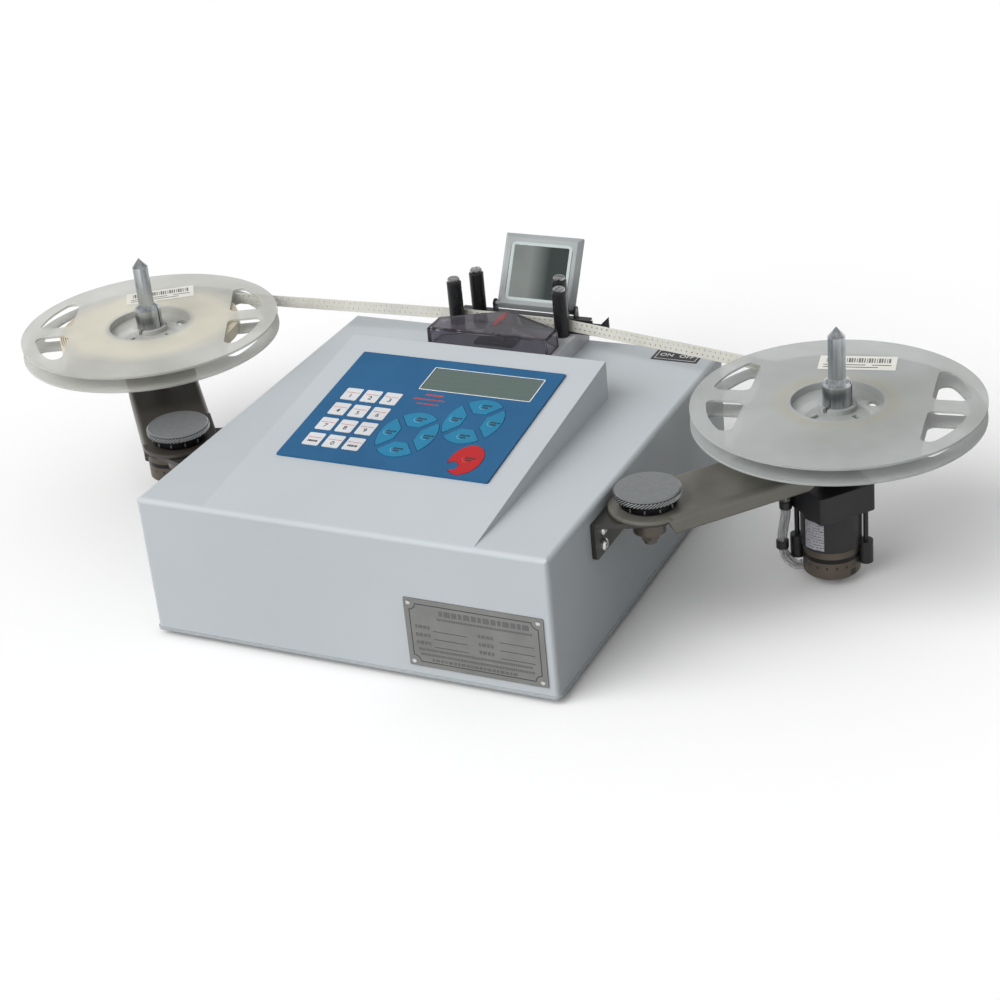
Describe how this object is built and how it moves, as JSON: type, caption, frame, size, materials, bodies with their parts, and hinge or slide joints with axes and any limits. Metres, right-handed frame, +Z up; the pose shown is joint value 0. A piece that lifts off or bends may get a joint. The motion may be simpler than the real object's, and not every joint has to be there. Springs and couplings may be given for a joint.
{
  "type": "component reel counter",
  "caption": "Bench counter for component tape: a keypad console with a sensing head between two reels on swinging motor arms, the tape running across its rear.",
  "frame": {"origin": "on the floor, under the centre of the whole object's box", "axes": "+X to the operator's right, +Y from the operator to the rear, +Z up"},
  "size_m": [0.6719, 0.3176, 0.1688],
  "materials": {
    "housing_paint": "fine-textured light grey powder coat",
    "base_paint": "satin grey paint",
    "foot_rubber": "moulded, matt",
    "bright_steel": "zinc-plated",
    "overlay_film": "printed blue keypad film",
    "display": "grey-green display",
    "circuit_board": "lacquered board",
    "plate_metal": "brushed",
    "black_plastic": "moulded, fine texture",
    "rocker_plastic": "moulded",
    "block_metal": "satin grey",
    "smoked_plastic": "smoked acrylic",
    "rail_paint": "black satin",
    "roller_plastic": "turned black plastic",
    "frame_plastic": "moulded pale grey",
    "mirror": "silvered glass",
    "arm_steel": "satin, passivated",
    "stud_steel": "turned",
    "knob_metal": "satin, knurled rim",
    "gearbox_paint": "satin black",
    "can_paint": "bronze lacquer",
    "lead_sleeve": "clear grey sleeve",
    "spindle_metal": "turned",
    "reel_plastic": "milky translucent",
    "tape_plastic": "translucent cream",
    "white_key": "printed film",
    "blue_key": "printed film",
    "red_key": "printed film"
  },
  "bodies": {
    "housing": {"base_plate": "base_paint", "housing_cover": "housing_paint", "rubber_feet": "foot_rubber", "pan_screws": "bright_steel", "keypad_overlay": "overlay_film", "lcd_module": "display", "main_board": "circuit_board", "nameplate": "plate_metal", "power_inlet": "black_plastic", "head_block": "block_metal", "head_cover": "smoked_plastic", "photo_sensor": "black_plastic", "tape_rail": "rail_paint", "post_screws": "bright_steel", "arm_brackets": "arm_steel", "pivot_studs": "stud_steel", "carrier_tape": "tape_plastic"},
    "right_arm_unit": {"right_arm": "arm_steel", "right_gearbox": "gearbox_paint", "right_motor": "can_paint", "right_motor_lead": "lead_sleeve"},
    "left_arm_unit": {"left_arm": "arm_steel", "left_gearbox": "gearbox_paint", "left_motor": "can_paint"},
    "right_reel_unit": {"right_spindle": "spindle_metal", "right_reel": "reel_plastic", "right_winding": "tape_plastic"},
    "left_reel_unit": {"left_spindle": "spindle_metal", "left_reel": "reel_plastic", "left_winding": "tape_plastic"},
    "right_knob_unit": {"right_knob": "knob_metal"},
    "left_knob_unit": {"left_knob": "knob_metal"},
    "mirror_unit": {"mirror_frame": "frame_plastic", "mirror_glass": "mirror"},
    "rocker_unit": {"power_rocker": "rocker_plastic"},
    "roller_front_left_unit": {"roller_front_left": "roller_plastic"},
    "roller_front_right_unit": {"roller_front_right": "roller_plastic"},
    "roller_rear_left_unit": {"roller_rear_left": "roller_plastic"},
    "roller_rear_right_unit": {"roller_rear_right": "roller_plastic"},
    "key_1_unit": {"key_1": "white_key"},
    "key_2_unit": {"key_2": "white_key"},
    "key_3_unit": {"key_3": "white_key"},
    "key_4_unit": {"key_4": "white_key"},
    "key_5_unit": {"key_5": "white_key"},
    "key_6_unit": {"key_6": "white_key"},
    "key_7_unit": {"key_7": "white_key"},
    "key_8_unit": {"key_8": "white_key"},
    "key_9_unit": {"key_9": "white_key"},
    "key_function_unit": {"key_function": "white_key"},
    "key_0_unit": {"key_0": "white_key"},
    "key_enter_unit": {"key_enter": "white_key"},
    "left_pad_rear_unit": {"left_pad_rear": "blue_key"},
    "left_pad_front_unit": {"left_pad_front": "blue_key"},
    "left_pad_left_unit": {"left_pad_left": "blue_key"},
    "left_pad_right_unit": {"left_pad_right": "blue_key"},
    "right_pad_rear_unit": {"right_pad_rear": "blue_key"},
    "right_pad_front_unit": {"right_pad_front": "blue_key"},
    "right_pad_left_unit": {"right_pad_left": "blue_key"},
    "right_pad_right_unit": {"right_pad_right": "blue_key"},
    "key_stop_unit": {"key_stop": "red_key"}
  },
  "joints": [
    {"name": "right_arm_swing", "type": "hinge", "parent": "housing", "child": "right_arm_unit", "pos_m": [0.163, -0.06847, 0.0908], "axis": [0, 0, 1], "range_deg": [-45, 20], "deforming": ["carrier_tape"]},
    {"name": "right_reel_spin", "type": "hinge", "parent": "right_arm_unit", "child": "right_reel_unit", "pos_m": [0.24696, 0.03339, 0.1088], "axis": [0, 0, 1], "continuous": true},
    {"name": "right_knob_turn", "type": "hinge", "parent": "housing", "child": "right_knob_unit", "pos_m": [0.163, -0.06847, 0.0908], "axis": [0, 0, 1], "range_deg": [0, 270]},
    {"name": "left_arm_swing", "type": "hinge", "parent": "housing", "child": "left_arm_unit", "pos_m": [-0.163, -0.06847, 0.0908], "axis": [0, 0, -1], "range_deg": [-45, 20], "deforming": ["carrier_tape"]},
    {"name": "left_reel_spin", "type": "hinge", "parent": "left_arm_unit", "child": "left_reel_unit", "pos_m": [-0.24696, 0.03339, 0.1088], "axis": [0, 0, 1], "continuous": true},
    {"name": "left_knob_turn", "type": "hinge", "parent": "housing", "child": "left_knob_unit", "pos_m": [-0.163, -0.06847, 0.0908], "axis": [0, 0, 1], "range_deg": [0, 270]},
    {"name": "roller_front_left_spin", "type": "hinge", "parent": "housing", "child": "roller_front_left_unit", "pos_m": [-0.044, 0.10553, 0.125], "axis": [0, 0, 1], "continuous": true},
    {"name": "roller_front_right_spin", "type": "hinge", "parent": "housing", "child": "roller_front_right_unit", "pos_m": [0.034, 0.10553, 0.125], "axis": [0, 0, 1], "continuous": true},
    {"name": "roller_rear_left_spin", "type": "hinge", "parent": "housing", "child": "roller_rear_left_unit", "pos_m": [-0.036, 0.12403, 0.125], "axis": [0, 0, 1], "continuous": true},
    {"name": "roller_rear_right_spin", "type": "hinge", "parent": "housing", "child": "roller_rear_right_unit", "pos_m": [0.026, 0.12403, 0.125], "axis": [0, 0, 1], "continuous": true},
    {"name": "mirror_tilt", "type": "hinge", "parent": "housing", "child": "mirror_unit", "pos_m": [0.0025, 0.13253, 0.1157], "axis": [-1, 0, 0], "range_deg": [-15, 25]},
    {"name": "power_rocker_tip", "type": "hinge", "parent": "housing", "child": "rocker_unit", "pos_m": [0.1, 0.12803, 0.067], "axis": [1, 0, 0], "range_deg": [0, 16]},
    {"name": "key_1_press", "type": "slide", "parent": "housing", "child": "key_1_unit", "axis": [0, 0.1283, -0.9917], "range_m": [0, 0.00035], "stiffness_N_per_m": 30, "springref_m": -0.0003},
    {"name": "key_2_press", "type": "slide", "parent": "housing", "child": "key_2_unit", "axis": [0, 0.1283, -0.9917], "range_m": [0, 0.00035], "stiffness_N_per_m": 30, "springref_m": -0.0003},
    {"name": "key_3_press", "type": "slide", "parent": "housing", "child": "key_3_unit", "axis": [0, 0.1283, -0.9917], "range_m": [0, 0.00035], "stiffness_N_per_m": 30, "springref_m": -0.0003},
    {"name": "key_4_press", "type": "slide", "parent": "housing", "child": "key_4_unit", "axis": [0, 0.1283, -0.9917], "range_m": [0, 0.00035], "stiffness_N_per_m": 30, "springref_m": -0.0003},
    {"name": "key_5_press", "type": "slide", "parent": "housing", "child": "key_5_unit", "axis": [0, 0.1283, -0.9917], "range_m": [0, 0.00035], "stiffness_N_per_m": 30, "springref_m": -0.0003},
    {"name": "key_6_press", "type": "slide", "parent": "housing", "child": "key_6_unit", "axis": [0, 0.1283, -0.9917], "range_m": [0, 0.00035], "stiffness_N_per_m": 30, "springref_m": -0.0003},
    {"name": "key_7_press", "type": "slide", "parent": "housing", "child": "key_7_unit", "axis": [0, 0.1283, -0.9917], "range_m": [0, 0.00035], "stiffness_N_per_m": 30, "springref_m": -0.0003},
    {"name": "key_8_press", "type": "slide", "parent": "housing", "child": "key_8_unit", "axis": [0, 0.1283, -0.9917], "range_m": [0, 0.00035], "stiffness_N_per_m": 30, "springref_m": -0.0003},
    {"name": "key_9_press", "type": "slide", "parent": "housing", "child": "key_9_unit", "axis": [0, 0.1283, -0.9917], "range_m": [0, 0.00035], "stiffness_N_per_m": 30, "springref_m": -0.0003},
    {"name": "key_function_press", "type": "slide", "parent": "housing", "child": "key_function_unit", "axis": [0, 0.1283, -0.9917], "range_m": [0, 0.00035], "stiffness_N_per_m": 30, "springref_m": -0.0003},
    {"name": "key_0_press", "type": "slide", "parent": "housing", "child": "key_0_unit", "axis": [0, 0.1283, -0.9917], "range_m": [0, 0.00035], "stiffness_N_per_m": 30, "springref_m": -0.0003},
    {"name": "key_enter_press", "type": "slide", "parent": "housing", "child": "key_enter_unit", "axis": [0, 0.1283, -0.9917], "range_m": [0, 0.00035], "stiffness_N_per_m": 30, "springref_m": -0.0003},
    {"name": "left_pad_rear_press", "type": "slide", "parent": "housing", "child": "left_pad_rear_unit", "axis": [0, 0.1283, -0.9917], "range_m": [0, 0.00035], "stiffness_N_per_m": 30, "springref_m": -0.0003},
    {"name": "left_pad_front_press", "type": "slide", "parent": "housing", "child": "left_pad_front_unit", "axis": [0, 0.1283, -0.9917], "range_m": [0, 0.00035], "stiffness_N_per_m": 30, "springref_m": -0.0003},
    {"name": "left_pad_left_press", "type": "slide", "parent": "housing", "child": "left_pad_left_unit", "axis": [0, 0.1283, -0.9917], "range_m": [0, 0.00035], "stiffness_N_per_m": 30, "springref_m": -0.0003},
    {"name": "left_pad_right_press", "type": "slide", "parent": "housing", "child": "left_pad_right_unit", "axis": [0, 0.1283, -0.9917], "range_m": [0, 0.00035], "stiffness_N_per_m": 30, "springref_m": -0.0003},
    {"name": "right_pad_rear_press", "type": "slide", "parent": "housing", "child": "right_pad_rear_unit", "axis": [0, 0.1283, -0.9917], "range_m": [0, 0.00035], "stiffness_N_per_m": 30, "springref_m": -0.0003},
    {"name": "right_pad_front_press", "type": "slide", "parent": "housing", "child": "right_pad_front_unit", "axis": [0, 0.1283, -0.9917], "range_m": [0, 0.00035], "stiffness_N_per_m": 30, "springref_m": -0.0003},
    {"name": "right_pad_left_press", "type": "slide", "parent": "housing", "child": "right_pad_left_unit", "axis": [0, 0.1283, -0.9917], "range_m": [0, 0.00035], "stiffness_N_per_m": 30, "springref_m": -0.0003},
    {"name": "right_pad_right_press", "type": "slide", "parent": "housing", "child": "right_pad_right_unit", "axis": [0, 0.1283, -0.9917], "range_m": [0, 0.00035], "stiffness_N_per_m": 30, "springref_m": -0.0003},
    {"name": "key_stop_press", "type": "slide", "parent": "housing", "child": "key_stop_unit", "axis": [0, 0.1283, -0.9917], "range_m": [0, 0.00035], "stiffness_N_per_m": 30, "springref_m": -0.0003}
  ],
  "couplings": [
    {"joint": "right_reel_spin", "follows": "left_reel_spin", "ratio": 1.8},
    {"joint": "roller_front_left_spin", "follows": "left_reel_spin", "ratio": 12.6},
    {"joint": "roller_front_right_spin", "follows": "left_reel_spin", "ratio": 12.6}
  ]
}
